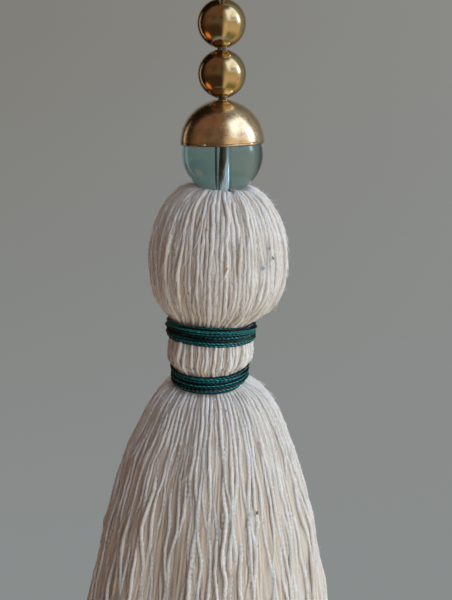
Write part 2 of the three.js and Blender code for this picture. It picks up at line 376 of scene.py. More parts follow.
def cotton_material(name, light, warm, shade, deep, inside=0.5, relief=0.30):
    """Cotton: fibres that turn around the strand, a fuzzy grain, and warmer stretches and patches.
    Strands sunken under others are painted darker and warmer: a painted shade.
    inside: the share of light that enters it. relief: how high its bumps are, in millimetres."""
    made, nodes, shader = new_material(
        name, Roughness=0.9, Sheen_Weight=0.4, Sheen_Roughness=0.5, Specular_IOR_Level=0.2,
        Subsurface_Weight=inside, Subsurface_Scale=0.9 * MM, Subsurface_Radius=COTTON_DEPTHS,
    )
    fibre, at = nodes.attribute("fibre"), nodes.place()
    trait = nodes.parts(nodes.attribute("trait"))
    fine = nodes.noise(fibre, (2.2, 2.2, 1.1), 4.0, 0.7)
    grain = nodes.noise(at, 2700.0, 2.0, 0.75)
    patch = nodes.noise(fibre, (0.25, 0.25, 0.14))
    stain = nodes.noise(at, 95.0)
    colour = nodes.layered(
        warm,
        (nodes.ranged(patch, 0.3, 0.7), light),
        # Trait X: each strand's own tone, partly random and partly painted shade, as sunken strands get a
        # lower value and turn warmer.
        (nodes.ranged(trait["X"], 0.0, 0.8, 0.55, 0.0), warm),
        (nodes.ranged(stain, 0.56, 0.74, 0.0, 0.55), deep),
        (nodes.ranged(fine, 0.30, 0.54, 0.75, 0.0), shade),
        (nodes.ranged(grain, 0.36, 0.56, 0.60, 0.0), shade),
        # Trait Y: painted shade, darker and warmer the deeper a strand lies.
        (trait["Y"], deep),
    )
    nodes.join(colour, shader.inputs["Base Color"])
    nodes.bump(shader, nodes.maths("ADD", fine, grain), relief)
    return made


def packed_material():
    """Cotton between and under the outer strands: soft streaks of white, cream and tan along them.
    All are darker and warmer than the outer strands: a painted shade of the gaps between them.
    """
    made, nodes, shader = new_material(
        "packed_cotton", Roughness=0.95, Sheen_Weight=0.4, Sheen_Roughness=0.5, Specular_IOR_Level=0.15,
        Subsurface_Weight=0.5, Subsurface_Scale=1.0 * MM, Subsurface_Radius=COTTON_DEPTHS,
    )
    lie = nodes.attribute("lie")
    broad = nodes.noise(lie, (0.45, 0.45, 0.5))
    narrow = nodes.noise(lie, (1.5, 1.5, 0.9), 3.0, 0.6)
    grain = nodes.noise(nodes.attribute("fibre"), (2.2, 2.2, 1.6), 4.0, 0.7)
    # Painted shade: these colours sit well below the outer cotton's, for the gaps between strands.
    colour = nodes.layered(
        (0.66, 0.57, 0.45),
        (nodes.ranged(narrow, 0.34, 0.64), (0.84, 0.79, 0.71)),
        (nodes.ranged(broad, 0.42, 0.66, 0.0, 0.55), (0.58, 0.47, 0.35)),
        (nodes.ranged(grain, 0.30, 0.52, 0.5, 0.0), (0.54, 0.44, 0.34)),
    )
    nodes.join(colour, shader.inputs["Base Color"])
    nodes.bump(shader, nodes.maths("ADD", narrow, nodes.times(grain, 0.5)), 0.5)
    return made


def thread_material():
    """Deep green mercerised cotton: two glossy plies with fine lengthwise fibres. Painted shade makes it
    nearly black between the plies and where a turn faces the turns beside it."""
    made, nodes, shader = new_material(
        "green_thread", Specular_IOR_Level=0.45, Specular_Tint=(0.46, 0.88, 1.0, 1.0)
    )
    fibre = nodes.attribute("fibre")
    trait = nodes.parts(nodes.attribute("trait"))
    beside = nodes.parts(fibre)["X"]
    # Painted shade: the valleys between the plies are darkened.
    ply = nodes.ranged(nodes.times(beside, beside), 0.80, 0.25, 0.04, 1.35)
    fine = nodes.noise(fibre, (4.0, 4.0, 1.2), 3.0, 0.6)
    long = nodes.noise(fibre, (0.3, 0.3, 0.12))
    colour = nodes.layered(
        (0.014, 0.430, 0.520),
        (nodes.ranged(long, 0.35, 0.7), (0.070, 0.950, 1.0)),
        (nodes.ranged(fine, 0.32, 0.62, 0.85, 0.0), (0.001, 0.016, 0.018)),
    )
    # Painted shade where a turn faces its neighbours, leaving a narrow lit line on its outermost side as a
    # painted highlight.
    painted_outward_light = nodes.maths("POWER", nodes.ranged(trait["Z"], 0.30, 1.0), 2.6)
    lit = nodes.times(nodes.times(ply, painted_outward_light), trait["X"])
    nodes.join(nodes.mixed(lit, (0.0006, 0.004, 0.005), colour), shader.inputs["Base Color"])
    nodes.join(nodes.ranged(fine, 0.25, 0.75, 0.36, 0.18), shader.inputs["Roughness"])
    nodes.bump(shader, fine, 0.06, 0.9)
    return made


def brass_material(name, dull, bright, rough, scratches):
    """Handled brass: faint clouds, hairline scratches both ways and small dark specks."""
    made, nodes, shader = new_material(name, Metallic=1.0)
    at = nodes.place()
    cloud = nodes.noise(at, 160.0, 4.0, 0.6)
    mottle = nodes.noise(at, 620.0, 3.0, 0.65)
    speck = nodes.noise(at, 1100.0)
    level = nodes.noise(at, (350.0, 350.0, 6000.0), 2.0, 0.7)
    upright = nodes.noise(at, (5200.0, 5200.0, 420.0), 2.0, 0.7)
    hairline = nodes.maths("MAXIMUM", nodes.ranged(level, 0.60, 0.72), nodes.ranged(upright, 0.60, 0.74))
    colour = nodes.layered(
        dull,
        (nodes.ranged(cloud, 0.3, 0.7), bright),
        (nodes.ranged(mottle, 0.52, 0.72, 0.0, 0.45 * scratches), (0.40, 0.25, 0.12)),
        (nodes.ranged(speck, 0.68, 0.74, 0.0, 0.7), (0.16, 0.09, 0.04)),
    )
    nodes.join(colour, shader.inputs["Base Color"])
    cloudy = nodes.ranged(cloud, 0.3, 0.7, rough * 0.8, rough * 1.3)
    roughness = nodes.maths("ADD", cloudy, nodes.times(hairline, 0.10))
    nodes.join(roughness, shader.inputs["Roughness"])
    nodes.bump(shader, nodes.maths("ADD", nodes.times(hairline, -scratches), cloud), 0.012, 0.6)
    return made


def glass_material():
    """Clear glass with a grey-green tint and the soft ripple of a hand-wound bead, ground in its bore."""
    made, nodes, shader = new_material("teal_glass", Transmission_Weight=1.0, IOR=1.47)
    at = nodes.place()
    swirl = nodes.noise(at, (60.0, 60.0, 160.0), 3.0)
    bore = nodes.parts(nodes.attribute("bore"))["X"]
    colour = nodes.layered(
        (0.38, 0.60, 0.61), (nodes.ranged(swirl, 0.35, 0.68), (0.48, 0.69, 0.68)), (bore, (0.92, 0.97, 0.98))
    )
    nodes.join(colour, shader.inputs["Base Color"])
    nodes.join(nodes.ranged(bore, 0.0, 1.0, 0.02, 0.16), shader.inputs["Roughness"])
    nodes.bump(shader, nodes.noise(at, 120.0), 0.06, 0.35)
    return made


def wear(piece, material, replaced=None):
    """Gives a finished piece its material, and lets it ride on the tassel's one body, in place
    of the CAD node that it replaces."""
    piece.data.materials.clear()
    piece.data.materials.append(material)
    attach(piece, "root")
    if replaced:
        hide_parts(replaced)
    return piece


# ---- camera ----


def make_camera():
    data = bpy.data.cameras.new("camera")
    data.lens = CAMERA["lens"]
    data.clip_start = 0.01
    camera = bpy.data.objects.new("camera", data)
    tilt = Matrix.Rotation(math.radians(90 - CAMERA["down"]), 4, "X")
    roll = Matrix.Rotation(math.radians(CAMERA["roll"]), 4, "Z")
    camera.matrix_world = Matrix.Translation(Vector(CAMERA["place"]) * MM) @ tilt @ roll
    bpy.context.scene.collection.objects.link(camera)
    bpy.context.scene.camera = camera


make_camera()

# ---- the cord ----

COTTON = cotton_material(
    "cotton", light=(0.93, 0.93, 0.925), warm=(0.88, 0.84, 0.77),
    shade=(0.70, 0.64, 0.565), deep=(0.64, 0.53, 0.415),
)
FUZZ = cotton_material(
    "cotton_fuzz", light=(0.96, 0.96, 0.96), warm=(0.95, 0.93, 0.90),
    shade=(0.92, 0.89, 0.84), deep=(0.92, 0.89, 0.84), inside=0.0, relief=0.01,
)
CORD = cotton_material(
    "brown_cord", light=(0.42, 0.36, 0.29), warm=(0.36, 0.29, 0.22),
    shade=(0.16, 0.12, 0.08), deep=(0.16, 0.12, 0.08),
)
PACKED = packed_material()
PLIES = 1 - 0.16 * (1 + np.cos(3 * TAU * np.arange(12) / 12)) / 2      # three plies laid together


def flat_traits(paths, brightness):
    traits = np.zeros((*paths.shape[:2], 3))
    traits[..., 0] = brightness
    return traits


def leaning(paths, axis):
    """The same direction, along an axis, at every ring."""
    return np.broadcast_to(np.eye(3)["XYZ".index(axis)], paths.shape)


def cord_piece(name, paths, cells, seed, replaced):
    """Three-ply cotton cords along these middles."""
    radii = np.full(paths.shape[:2], CORD_DIAMETER / 2 * MM)
    traits = flat_traits(paths, 0.8)
    piece = tube_object(
        name, paths, radii, leaning(paths, "Y"), 12, traits,
        twist=3.2 * MM, lobes=PLIES, cells=cells, seed=seed,
    )
    return wear(piece, CORD, replaced)


def hanging_loop():
    """The loop above the beads, from the upper ball over the top and back."""
    path, along = spread_evenly(rounded_route(LOOP_ROUTE) * MM, 0.3 * MM)
    piece = cord_piece("loop_cord", path[None], cells=6, seed=11, replaced="hanging_loop")


def middle_of(name):
    """The middle of a CAD node's box."""
    low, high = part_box(name)
    return np.array((low + high) / 2)


def vertices_of(thing):
    return np.array([vertex.co for vertex in thing.data.vertices])


GLASS_MIDDLE = middle_of("glass_bead")
GLASS_BOTTOM, GLASS_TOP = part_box("glass_bead")
GLASS_RADIUS = (GLASS_TOP.y - GLASS_BOTTOM.y) / 2
STRING_UP = unit(middle_of("ball_bead_upper") - GLASS_MIDDLE)      # the beads' common axis


def bead_cord():
    """The loop's two ends, laid round each other through the beads and into the head."""
    ends = [
        GLASS_MIDDLE + STRING_UP * (corner.z - GLASS_MIDDLE[2]) / STRING_UP[2]
        for corner in reversed(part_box("bead_cord"))
    ]
    middle, along = spread_evenly(ends, 0.4 * MM)
    turned = TAU * along / (30 * MM) + 0.5
    aside = around(turned) * CORD_DIAMETER / 2 * 0.98 * MM      # a little under touching
    paths = np.stack([middle + aside, middle - aside])
    cord_piece("bead_cords", paths, cells=4, seed=13, replaced="bead_cord")


hanging_loop()
bead_cord()

# ---- the beads ----

BALL_BRASS = brass_material("ball_brass", (0.46, 0.36, 0.205), (0.56, 0.445, 0.27), rough=0.13, scratches=0.4)
CAP_BRASS = brass_material("cap_brass", (0.72, 0.54, 0.36), (0.87, 0.73, 0.54), rough=0.19, scratches=1.0)
EDGE = 0.18                     # rounding of a bore's edge


def bored_outline(radius, steps):
    """A ball's closed outline: down its outside and back up the bore, with a rounded edge at each end."""
    bore = BORE_DIAMETER / 2
    mouth = math.degrees(math.acos((bore + EDGE) / radius))
    height = radius * math.sin(math.radians(mouth))
    lower = arc(EDGE, -45, -180, 3, (bore + EDGE, -height + EDGE * 0.8))
    upper = [(r, -h) for r, h in reversed(lower)]
    wall = [(bore, h) for h in np.linspace(-height + 1, height - 1, 8)]
    return arc(radius, mouth, -mouth, steps) + lower + wall + upper


def brass_ball(name, replaced):
    outline = bored_outline(BALL_DIAMETER / 2, steps=48)
    piece = turned_object(name, outline, steps=72, centre=middle_of(replaced), axis=STRING_UP)
    wear(piece, BALL_BRASS, replaced)


def bead_cap():
    """The thin dome: its outline is measured on the CAD's own cap, and its rim is a little uneven."""
    points = vertices_of(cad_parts["bead_cap"])
    axis = unit(points.mean(0) - GLASS_MIDDLE)
    height = (points - GLASS_MIDDLE) @ axis / MM
    radius = np.linalg.norm(points - GLASS_MIDDLE - height[:, None] * axis * MM, axis=1) / MM
    outer, rim, crown, hole = radius.max(), height.min(), height.max(), radius.min()
    wall = outer - radius[height < rim + 0.01].min()
    centre = crown - math.sqrt(outer**2 - hole**2)
    inner, lip = outer - wall, wall / 2
    outside = arc(outer, 0, math.degrees(math.acos((hole + lip) / outer)), 44, (0, centre))
    inside = arc(inner, math.degrees(math.acos((hole + lip) / inner)), 0, 30, (0, centre))
    edge_of_hole = arc(lip, 80, 260, 4, (hole + lip, centre + (outer - lip) * 0.985))
    edge_of_rim = arc(lip, -180, 0, 5, (outer - lip, rim + lip))
    levels = np.linspace(rim + lip + 0.3, centre - 0.2, 4)
    side, back = [(outer, level) for level in levels], [(inner, level) for level in levels[::-1]]
    outline = side + outside + edge_of_hole + inside + back + edge_of_rim
    uneven = 2.2 * MM               # how far above the rim it is uneven

    def wobble(r, h, angle):
        near_rim = smooth((rim * MM + uneven - h) / uneven) * MM
        lift = 0.05 * np.sin(3 * angle + 0.6) + 0.035 * np.sin(11 * angle + 2) + 0.03 * np.sin(23 * angle)
        dent = 0.05 * np.sin(2 * angle + 1.1) + 0.03 * np.sin(5 * angle)
        return r + dent * near_rim, h + lift * near_rim

    piece = turned_object("cap_dome", outline, 144, GLASS_MIDDLE, axis, wobble=wobble)
    wear(piece, CAP_BRASS, "bead_cap")


def glass_bead():
    outline = bored_outline(GLASS_RADIUS / MM, steps=72)
    piece = turned_object("glass_ball", outline, steps=112, centre=GLASS_MIDDLE, axis=STRING_UP)
    points = vertices_of(piece)
    from_axis = np.linalg.norm(np.cross(points - GLASS_MIDDLE, STRING_UP), axis=1)
    ground = np.zeros(points.shape, np.float32)
    ground[:, 0] = from_axis < (BORE_DIAMETER / 2 + 0.02) * MM
    layer = piece.data.attributes.new("bore", "FLOAT_VECTOR", "POINT")
    layer.data.foreach_set("vector", ground.ravel())
    wear(piece, glass_material(), "glass_bead")


brass_ball("brass_ball_upper", "ball_bead_upper")
brass_ball("brass_ball_lower", "ball_bead_lower")
bead_cap()
glass_bead()

# ---- the yarn's form, read from its CAD solid ----

DIRECTIONS = 72
HEAD_PIVOT = -103.0             # inside the head, from where all of its outside can be seen
HEAD_SWEEP = (61.0, -30.0)      # degrees above and below the pivot
HOLLOW = (0.40, 10.0, 41.0)     # gap under the glass, and the hollow's reach in degrees from straight down
SKIRT_TOP, SKIRT_LEVEL_END, HEM = -133.5, -238.0, -246.0
ROW = 0.75                      # between the form's rows

yarn_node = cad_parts["yarn_bundle"]
YARN = BVHTree.FromPolygons(
    vertices_of(yarn_node).tolist(), [tuple(face.vertices) for face in yarn_node.data.polygons]
)


def hit(origin, direction):
    found = YARN.ray_cast(Vector(origin), Vector(direction))[0]
    if found is None:
        raise RuntimeError(f"no yarn from {tuple(origin)} along {tuple(direction)}")
    return np.array(found)


def middle_at(height):
    """The yarn's middle at a height, halfway between what is met from opposite sides."""
    far = 0.2                   # metres, well outside the yarn
    left, right = (hit((side * far, 0, height), (-side, 0, 0)) for side in (-1, 1))
    front, back = (hit((0, side * far, height), (0, -side, 0)) for side in (-1, 1))
    return np.array([(left[0] + right[0]) / 2, (front[1] + back[1]) / 2, height])


class Form:
    """A surface for strands to follow: rows of points a fixed step apart, one column for each direction."""

    def __init__(self, columns):
        spread = [spread_evenly(points, ROW * MM)[0] for points in columns]
        rows = min(len(points) for points in spread)
        # Columns of slightly different length are stretched to the same count of rows.
        even = [read_off(np.linspace(0, len(p) - 1, rows), np.arange(len(p)), p) for p in spread]
        self.points = np.stack(even, 1)
        for _ in range(2):      # softens the CAD's facets
            self.points[1:-1] = (self.points[:-2] + 2 * self.points[1:-1] + self.points[2:]) / 4
        self.centres = self.points.mean(1)
        self.radii = np.linalg.norm((self.points - self.centres[:, None])[..., :2], axis=-1).mean(1)
        steps = np.linalg.norm(np.diff(self.points, axis=0), axis=-1).mean(1)
        self.along = np.concatenate([[0], np.cumsum(steps)])
        tangent = np.gradient(self.points, axis=0)
        side = around(TAU * np.arange(DIRECTIONS) / DIRECTIONS + TAU / 4)
        self.outward = unit(np.cross(tangent, side[None]))

    def radius(self, along):
        return np.interp(along, self.along, self.radii)

    def centre(self, along):
        return read_off(along, self.along, self.centres)

    def at(self, along, angle):
        """Points of the surface, and the directions that stand on it, for arrays of places."""
        row = np.interp(along, self.along, np.arange(len(self.along)))
        column = angle / TAU * DIRECTIONS
        top, left = np.floor(row).astype(int), np.floor(column).astype(int)
        down, across = (row - top)[..., None], (column - left)[..., None]
        below = np.minimum(top + 1, len(self.along) - 1)
        left, right = left % DIRECTIONS, (left + 1) % DIRECTIONS

        def read(grid):
            upper = grid[top, left] * (1 - across) + grid[top, right] * across
            lower = grid[below, left] * (1 - across) + grid[below, right] * across
            return upper * (1 - down) + lower * down

        return read(self.points), unit(read(self.outward))


def level_points(direction, heights):
    return [hit(middle_at(height * MM), direction) for height in heights]


def head_form():
    """From the hollow under the glass bead, over the head and collar, to inside the lower binding."""
    pivot = middle_at(HEAD_PIVOT * MM)
    hollow = GLASS_RADIUS + HOLLOW[0] * MM
    columns = []
    for index in range(DIRECTIONS):
        level = around(np.array(TAU * index / DIRECTIONS))
        under = [
            GLASS_MIDDLE + hollow * (level * math.sin(b) - np.array([0, 0, math.cos(b)]))
            for b in np.radians(np.arange(HOLLOW[1], HOLLOW[2], 3.0))
        ]
        sweep = np.radians(np.arange(HEAD_SWEEP[0], HEAD_SWEEP[1], -2.0))
        over = [hit(pivot, level * math.cos(a) + np.array([0, 0, math.sin(a)])) for a in sweep]
        down = level_points(level, np.arange(over[-1][2] / MM - 0.5, -138.4, -0.5))
        columns.append(under + over + down)
    return Form(columns)


def skirt_form():
    """From inside the lower binding to the hem, and a little past it for the longest strands."""
    columns = []
    for index in range(DIRECTIONS):
        level = around(np.array(TAU * index / DIRECTIONS))
        points = level_points(level, np.arange(SKIRT_TOP, SKIRT_LEVEL_END, -1.0))
        slope = (points[-1] - points[-14]) / (points[-1][2] - points[-14][2])
        points.append(points[-1] + slope * (HEM * MM - points[-1][2]))
        columns.append(points)
    return Form(columns)


HEAD = head_form()
SKIRT = skirt_form()

# ---- strands ----

STRANDS = 190                   # of the hank's outside; the same strands run from head to hem
GOLDEN = (math.sqrt(5) - 1) / 2
RANKS = (np.arange(STRANDS) * GOLDEN) % 1       # which strands are crowded inward first
ON_TOP = RANKS < 0.55           # strands that lie on the outside nearly all the way
SLUB_GAIN = 0.42                # how much thicker a strand is in the middle of a slub
SLUB_LENGTH = 4.5               # from a slub's middle to where it has thinned out
CUT = 0.958                     # the share of the skirt's form at which its strands are cut
BOUND = ((-118, -130), (-131, -140.5))  # heights at the bindings, kept free of fuzz


def crowded(ranks, room):
    """Where strands lie when only so many fit side by side: angles, and how many layers each has sunk."""
    reach = 12                  # rows on each side over which the room is evened out
    window = np.full(2 * reach + 1, 1 / (2 * reach + 1))
    room = np.convolve(np.pad(room, reach, mode="edge"), window, "valid")
    level = ranks[:, None] * len(ranks) / room[None, :]
    sunk = sum(smooth((level - layer + 0.25) / 0.5) for layer in (1, 2, 3))
    width = 1 - 0.85 * np.minimum(sunk, 1)
    edge = np.cumsum(width, axis=0)
    return TAU * (edge - width / 2) / edge[-1], sunk


def slubs(rng, count, along, per_strand):
    """Short thick stretches of a strand: 0 between them and 1 in their middles."""
    total = np.zeros((count, along.shape[-1]))
    for _ in range(per_strand):
        middle = rng.uniform(-0.1, 1.1, (count, 1)) * along.max()
        half = rng.uniform(0.5, 1.3, (count, 1)) * SLUB_LENGTH * MM
        total += np.exp(-(((along - middle) / half) ** 2)) * rng.uniform(0, 1, (count, 1)) ** 2
    return np.minimum(total, 1)


def yarn_radius(rng, count, along, middle, per_strand):
    """Radii of slub yarn, thick and thin along its length. middle: in millimetres."""
    swing = wavy(rng, count, along, (1, 7, 13, 23), (0.45, 2.6, 4.1))
    swing = swing + 1.3 * rng.normal(size=(count, 1)).clip(-1.8, 1.8)
    return middle * MM * np.exp(0.09 * swing) * (1 + SLUB_GAIN * slubs(rng, count, along, per_strand))


def traits_of(rng, sunk, radii):
    """For the material: each strand's brightness, and how deep it lies. Sunken strands get less brightness
    and more depth, which paint them darker and warmer: a painted shade.
    """
    bright = rng.uniform(0.40, 1, (len(radii), 1)) * (1 - 0.6 * np.minimum(sunk, 1))
    return np.stack([bright, 0.65 * np.minimum(sunk, 1.4), 0 * radii], -1)


def head_strands():
    """The strands over the head and collar: their paths, radii, outward directions and sunken layers."""
    rng = np.random.default_rng(21)
    rings, leaping = 86, 14     # leaping: strands that cross over their neighbours
    along = np.linspace(0, HEAD.along[-1] * 0.999, rings)
    radius = HEAD.radius(along)
    past_head = along > along[-1] * 0.4
    drawn_in = 0.17 * smooth((radius.max() - radius - 1.5 * MM) / (6 * MM)) * past_head
    angle, sunk = crowded(RANKS, TAU * (radius / MM - 0.5) / (1.02 - drawn_in))
    drift = 0.17 * field(rng, angle, along, (9, 17, 26), (28, 60))
    drift = drift + wavy(rng, STRANDS, along[None], (0.17, 14, 30), (0.06, 4, 7))
    across = rng.choice(STRANDS, leaping, replace=False)
    leap = np.zeros((STRANDS, rings))
    leap[across] = rng.choice([-1, 1], (leaping, 1)) * rng.uniform(1.0, 2.0, (leaping, 1))
    start = rng.uniform(0.15, 0.5, (STRANDS, 1)) * along[-1]
    crossing = smooth((along - start) / (18 * MM))
    angle = angle + (drift + leap * crossing) * MM / (radius - 0.4 * MM)
    radii = yarn_radius(rng, STRANDS, along[None], middle=0.54, per_strand=4) * (1 - drawn_in)
    depth = 0.55 + 0.34 * sunk + 0.15 * rng.normal(size=(STRANDS, 1)).clip(-1.5, 2)
    depth = depth + wavy(rng, STRANDS, along[None], (0.14, 17, 33), (0.05, 5, 9))
    depth = depth - 0.40 * (leap != 0) * np.sin(np.pi * crossing)
    surface, outward = HEAD.at(np.broadcast_to(along, angle.shape), angle)
    return surface - outward * depth[..., None] * MM, radii, outward, sunk, rng


def hem_length(rng, count):
    """How far along the skirt each strand is cut."""
    return SKIRT.along[-1] * (CUT + 0.010 * rng.normal(size=(count, 1)).clip(-2, 2))


def hanging(rng, angle, along, loosest=1.0):
    """Sideways and outward waves of hanging strands, in millimetres."""
    count = len(angle)
    loose = smooth((along / MM - 4) / 40) * loosest
    sideways = 0.34 * field(rng, angle, along, (11, 19, 31), (44, 80))
    sideways = sideways + wavy(rng, count, along, (0.52, 18, 31), (0.55, 75))
    sideways = sideways * loose + wavy(rng, count, along, (0.08, 6, 10))
    outward = 0.34 * field(rng, angle, along, (7, 15, 24), (40, 70))
    return sideways, (outward + wavy(rng, count, along, (0.20, 19, 35))) * loose


def outer_skirt():
    """The skirt's outside: the head's strands again, opening into pairs and locks as they fall."""
    rng = np.random.default_rng(31)
    rings = 88
    end = hem_length(rng, STRANDS)
    share = np.linspace(0, 1, rings)[None]
    along = share * end
    row = share[0] * SKIRT.along[-1] * CUT
    radius = SKIRT.radius(row)
    pitch = 1.10 + 1.30 * smooth((row / MM - 8) / 80)
    angle, sunk = crowded(RANKS, TAU * (radius / MM - 0.5) / pitch)
    locks = np.cumsum(rng.choice([0, 1], STRANDS, p=[0.55, 0.45]))
    for lock in range(locks[-1] + 1):
        own = locks == lock
        swing = 0.5 + 0.5 * np.sin(TAU * row / MM / rng.uniform(50, 90) + rng.uniform(0, TAU))
        pull = 0.08 * smooth((row / MM - 14) / 40) * swing
        angle[own] += pull * (angle[own].mean(0) - angle[own])
    sideways, outward = hanging(rng, angle, along)
    angle = angle + sideways * MM / (radius - 0.4 * MM)
    radii = yarn_radius(rng, STRANDS, along, middle=0.52, per_strand=6)
    radii = radii * (1 + 0.16 * smooth(row / MM / 50))
    depth = 0.58 + 0.10 * rng.normal(size=(STRANDS, 1)).clip(-1.5, 2) - outward
    depth = depth + (0.28 + rng.uniform(0.16, 0.42, (STRANDS, 1)) * smooth(row / MM / 50)) * sunk
    surface, normal = SKIRT.at(along, angle)
    return surface - normal * depth[..., None] * MM, radii, normal, sunk, rng


def skirt_rows(rng, count, rings):
    """How far down the skirt each ring of its inner strands lies. They are cut a little shorter."""
    return np.linspace(0, 1, rings)[None] * (hem_length(rng, count) - 1.0 * MM)


def under_skirt(seed, count, rings, depths, radius):
    """A close layer of strands under the outside, between these depths in millimetres at the hem."""
    rng = np.random.default_rng(seed)
    along = skirt_rows(rng, count, rings)
    angle = TAU * (np.arange(count)[:, None] + rng.uniform(-0.35, 0.35, (count, 1))) / count
    sideways, outward = hanging(rng, angle + 0 * along, along, 0.7)
    angle = angle + sideways * MM / SKIRT.radius(along)
    depth = rng.uniform(*depths, (count, 1)) * (0.7 + 0.3 * smooth(along / MM / 60)) - outward
    surface, normal = SKIRT.at(along, angle)
    radii = yarn_radius(rng, count, along, radius, per_strand=3)
    # These strands count as sunk by one layer, which only sets their painted shade.
    return surface - normal * depth[..., None] * MM, radii, normal, np.full(along.shape, 1.0), rng


def inner_skirt(seed, count, rings, shares, radius):
    """Strands inside the skirt, at these shares of the way from its middle to its outside."""
    rng = np.random.default_rng(seed)
    along = skirt_rows(rng, count, rings)
    angle = (np.arange(count)[:, None] * TAU * GOLDEN + rng.normal(0, 0.05, (count, 1))) % TAU
    reach = np.linspace(shares[0] ** 2, shares[1] ** 2, count)[:, None] ** 0.5
    reach = reach * (0.86 + 0.14 * smooth((along / MM - 4) / 30))
    sideways, outward = hanging(rng, angle + 0 * along, along)
    angle = angle + sideways * MM / (SKIRT.radius(along) * np.maximum(reach, 0.15))
    surface, normal = SKIRT.at(along, angle)
    centre = SKIRT.centre(along)
    paths = centre + (surface - centre) * reach[..., None] + normal * (outward * 0.7)[..., None] * MM
    radii = yarn_radius(rng, count, along, radius, per_strand=2)
    # These strands count as sunk by one and a half layers, which only sets their painted shade.
    return paths, radii, normal, np.full(along.shape, 1.5), rng


def closed_ends(radii):
    """Draws each tube in a little at its first and last ring."""
    radii = radii.copy()
    radii[:, [0, -1]] *= [0.5, 0.75]
    return radii


def packed_fill(name, form, ridges, rows, reach, depths, relief, seed):
    """The strands packed beneath the outer ones: one ridged surface, closed at both ends.
    reach: where along the form it starts and ends. depths: how deep it lies there, and relief: how
    high its ridges are, in millimetres."""
    rng = np.random.default_rng(seed)
    per_ridge = 4
    columns = ridges * per_ridge
    along = np.linspace(*reach, rows) * form.along[-1]
    around_it = TAU * np.arange(columns)[:, None] / columns + 0 * along
    drift = 0.5 * field(rng, around_it, along, (9, 17, 26), (28, 60))
    angle = around_it + drift * MM / form.radius(along)
    phase = TAU * np.arange(columns)[:, None] / per_ridge
    own = np.repeat(waves(rng, ridges, along[None], (9, 19)), per_ridge, 0)
    depth = np.linspace(*depths, rows) + relief * (0.5 - 0.5 * np.cos(phase)) + 0.12 * own
    surface, outward = form.at(np.broadcast_to(along, angle.shape), angle)
    points = surface - outward * depth[..., None] * MM
    tips = points[:, [0, -1]].mean(0)
    tips[1, 2] += 6 * MM * (form is SKIRT)      # so that the skirt looks hollow from below
    offset = np.repeat(rng.uniform(0, 900, (ridges, 1)), per_ridge, 0)
    fibre = np.stack(np.broadcast_arrays(np.cos(phase), np.sin(phase), along / MM + offset), -1)
    lie = around(around_it) * form.radii.max() / MM
    lie[..., 2] = along / (12 * MM)

    def as_tube(grid, ends):
        """Ring by ring, from the last column to the first, as a tube that runs downwards is laid out."""
        return np.concatenate([grid[::-1].transpose(1, 0, 2).reshape(-1, 3), ends])

    attributes = {"fibre": as_tube(fibre, fibre[0, [0, -1]]), "lie": as_tube(lie, lie[0, [0, -1]])}
    corners, sizes = tube_faces(1, rows, columns)
    piece = mesh_object(name, as_tube(points, tips), corners, sizes, attributes=attributes)
    return wear(piece, PACKED)


def chosen(strands, own):
    """Only these of the strands."""
    *rows, rng = strands
    return *(row[own] for row in rows), rng


def yarn_piece(name, strands, sides, seed, rough=0.10, replaced=None):
    paths, radii, outward, sunk, rng = strands
    lobes = 1 + 0.03 * np.cos(2 * TAU * np.arange(sides) / sides)
    traits = traits_of(rng, sunk, radii)
    piece = tube_object(
        name, paths, closed_ends(radii), outward, sides, traits,
        twist=8 * MM, lobes=lobes, rough=rough, seed=seed,
    )
    return wear(piece, COTTON, replaced)


def fuzz_roots(rng, strands, count):
    """Places on the outer strands' skin, clear of the bindings, and the directions there."""
    paths, radii, outward, sunk, _ = strands
    seen = np.argwhere(sunk < 0.6)
    seen = seen[(seen[:, 1] > 4) & (seen[:, 1] < paths.shape[1] - 1)]
    height = paths[seen[:, 0], seen[:, 1], 2] / MM
    seen = seen[~sum((height < top) & (height > bottom) for top, bottom in BOUND).astype(bool)]
    i, j = seen[rng.integers(0, len(seen), count)].T
    up, down = outward[i, j], unit(np.gradient(paths, axis=1))[i, j]
    side = np.cross(down, up)
    lateral = rng.uniform(-0.8, 0.8, (count, 1))
    skin = up * np.sqrt(1 - lateral**2) + side * lateral
    root = paths[i, j] + radii[i, j][:, None] * 0.85 * skin
    return root + down * rng.uniform(-0.5, 0.5, (count, 1)) * MM, up, down, side


def fuzz_fibres(rng, strands, count):
    """Middles, leans and radii of short curled fibres on the outer strands. Just under the head's top
    and below, about half of them lie along their strand."""
    root, up, down, side = fuzz_roots(rng, strands, count)
    away = up * rng.uniform(0.0, 0.8, (count, 1))
    away = away + down * rng.normal(0, 0.8, (count, 1))
    away = unit(away + side * rng.normal(0, 0.7, (count, 1)))
    bend = unit(rng.normal(0, 1, (count, 3)) + down * 0.5 - up * 0.3)
    length = rng.uniform(0.45, 1.0, (count, 1)) ** 2 * 1.5 * MM
    lying = (rng.uniform(0, 1, (count, 1)) < 0.55) & (root[:, 2:] < -95 * MM)
    along_it = unit(down + side * rng.normal(0, 0.30, (count, 1)) + up * 0.10)
    away = np.where(lying, along_it, away)
    bend = np.where(lying, unit(side * rng.normal(0, 1, (count, 1)) - up * 0.35), bend)
    length = np.where(lying, rng.uniform(1.5, 4.5, (count, 1)) * MM, length)
    curl = np.where(lying, 0.16, 0.55)[:, None]
    t = np.linspace(0, 1, 3)[:, None]
    paths = root[:, None] + (away[:, None] * t + curl * bend[:, None] * t**2) * length[:, None]
    leans = np.repeat(np.cross(away, bend)[:, None], len(t), 1)
    return paths, leans, np.where(lying, 0.060, 0.028) * MM * np.array([1, 0.85, 0.4])


def fuzz(name, sources, per_source, seed):
    """Short fibres that stand off the outer strands and soften their outline."""
    rng = np.random.default_rng(seed)
    made = [fuzz_fibres(rng, strands, count) for strands, count in zip(sources, per_source)]
    paths, leans, radii = (np.concatenate(part) for part in zip(*made))
    piece = tube_object(name, paths, radii, leans, 3, flat_traits(paths, 1.0), seed=seed + 5)
    return wear(piece, FUZZ)


